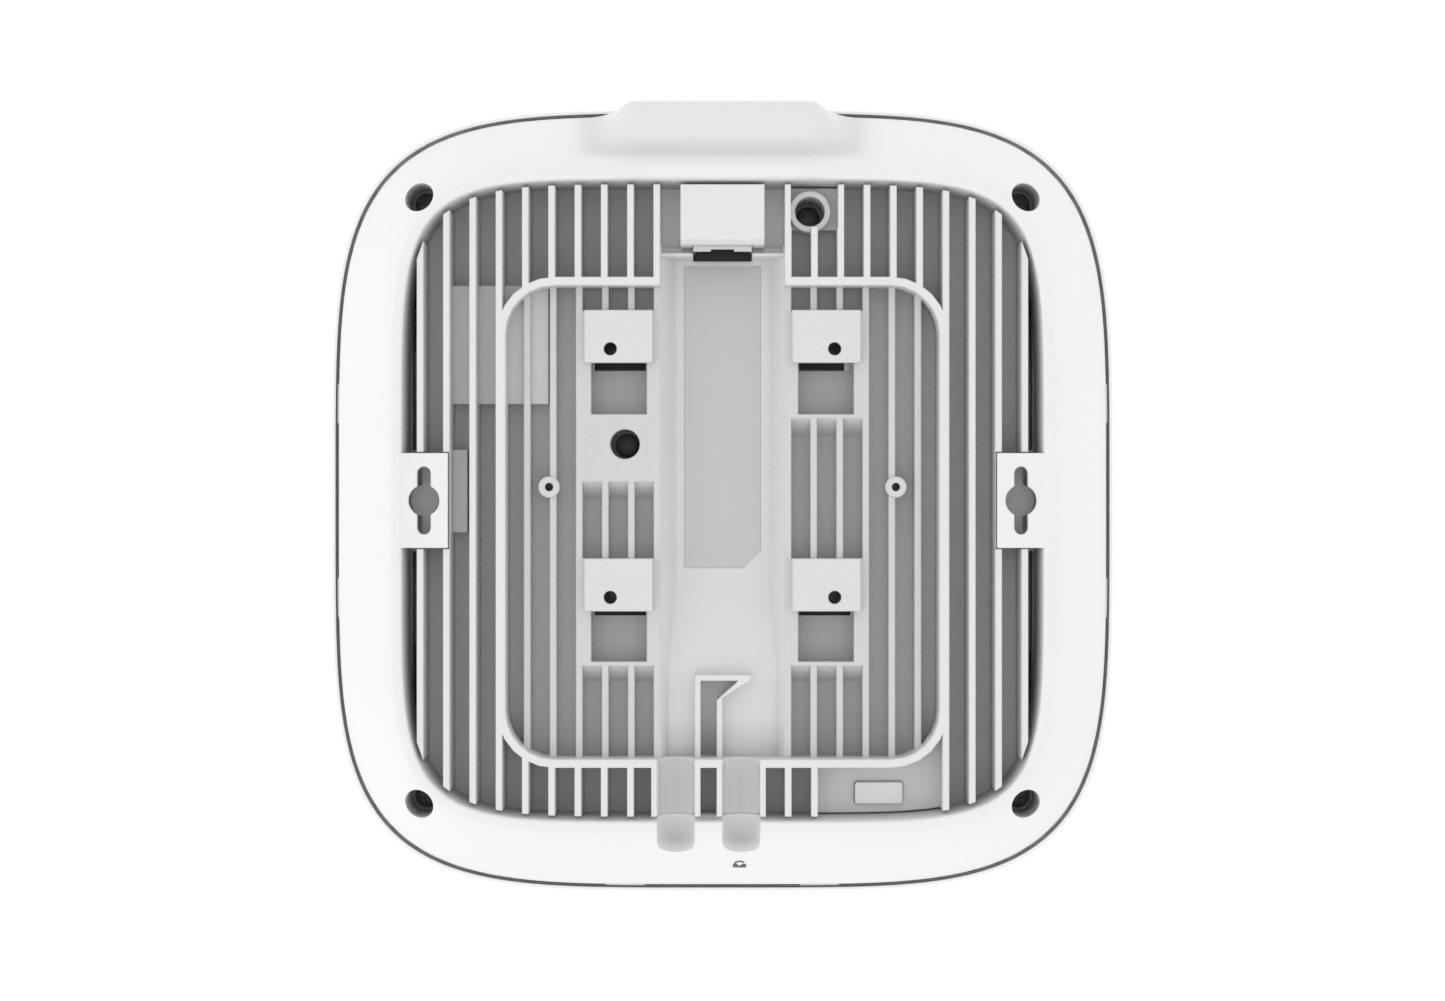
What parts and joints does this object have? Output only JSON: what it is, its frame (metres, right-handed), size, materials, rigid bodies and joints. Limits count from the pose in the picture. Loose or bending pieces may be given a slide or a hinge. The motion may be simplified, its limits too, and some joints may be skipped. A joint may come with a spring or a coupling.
{
  "type": "ceiling access point",
  "caption": "Rounded-square wireless access point with a radome front, a finned rear heat sink, bracket hooks, keyholes and an ethernet port in a cable channel.",
  "frame": {"origin": "middle of the front face, which the unit lies on", "axes": "+Z from the front face to the mounting side, +Y towards the bump in the rim, +X across the unit"},
  "size_m": [0.22, 0.22, 0.042],
  "materials": {
    "cover_plastic": "fine matt moulded radome",
    "bezel_plastic": "fine matt moulded shell",
    "gasket_rubber": "soft dark seal",
    "cast_powder_coat": "white powder coat on die-cast aluminium",
    "label_film": "plain light grey film",
    "ink": "printed mark",
    "black_screw": "black zinc",
    "jack_metal": "nickel-plated sheet",
    "jack_plastic": "black moulded insert",
    "contact_gold": "gold-plated wires",
    "board_laminate": "solder-masked laminate",
    "chip_plastic": "moulded chip body",
    "shield_metal": "tinned shield can",
    "thermal_pad": "soft gap pad",
    "ferrite": "moulded ferrite",
    "capacitor_can": "sleeved can",
    "steel_screw": "zinc plated",
    "tray_metal": "stamped reflector sheet",
    "antenna_metal": "stamped and bent sheet",
    "feed_sleeve": "black sleeve",
    "led_body": "small lamp package",
    "clear_pipe": "moulded clear light pipe",
    "button_plastic": "small plunger",
    "plug_plastic": "soft-edged moulded cap"
  },
  "bodies": {
    "housing": {"front_cover": "cover_plastic", "rear_bezel": "bezel_plastic", "seam_gasket": "gasket_rubber", "heat_sink": "cast_powder_coat", "rear_label": "label_film", "padlock_mark": "ink", "corner_screws": "black_screw", "heat_sink_screws": "black_screw", "ethernet_jack": "jack_metal", "jack_insert": "jack_plastic", "jack_contacts": "contact_gold", "main_board": "board_laminate", "processor": "chip_plastic", "memory_chips": "chip_plastic", "radio_chips": "chip_plastic", "rf_shields": "shield_metal", "thermal_pads": "thermal_pad", "lan_magnetics": "chip_plastic", "power_transformer": "ferrite", "capacitors": "capacitor_can", "inductors": "ferrite", "board_screws": "steel_screw", "antenna_tray": "tray_metal", "tray_screws": "steel_screw", "wide_band_antennas": "antenna_metal", "narrow_band_antennas": "antenna_metal", "sensor_antenna": "board_laminate", "antenna_feeds": "feed_sleeve", "status_led": "led_body", "light_pipe": "clear_pipe", "reset_switch": "jack_plastic"},
    "service_plug": {"service_plug": "plug_plastic"},
    "reset_button": {"reset_button": "button_plastic"}
  },
  "joints": [
    {"name": "service_plug_lift", "type": "slide", "parent": "housing", "child": "service_plug", "axis": [0, 0, 1], "range_m": [0, 0.015]},
    {"name": "reset_button_press", "type": "slide", "parent": "housing", "child": "reset_button", "axis": [0, 0, -1], "range_m": [0, 0.0004], "stiffness_N_per_m": 400, "springref_m": -0.0005}
  ]
}
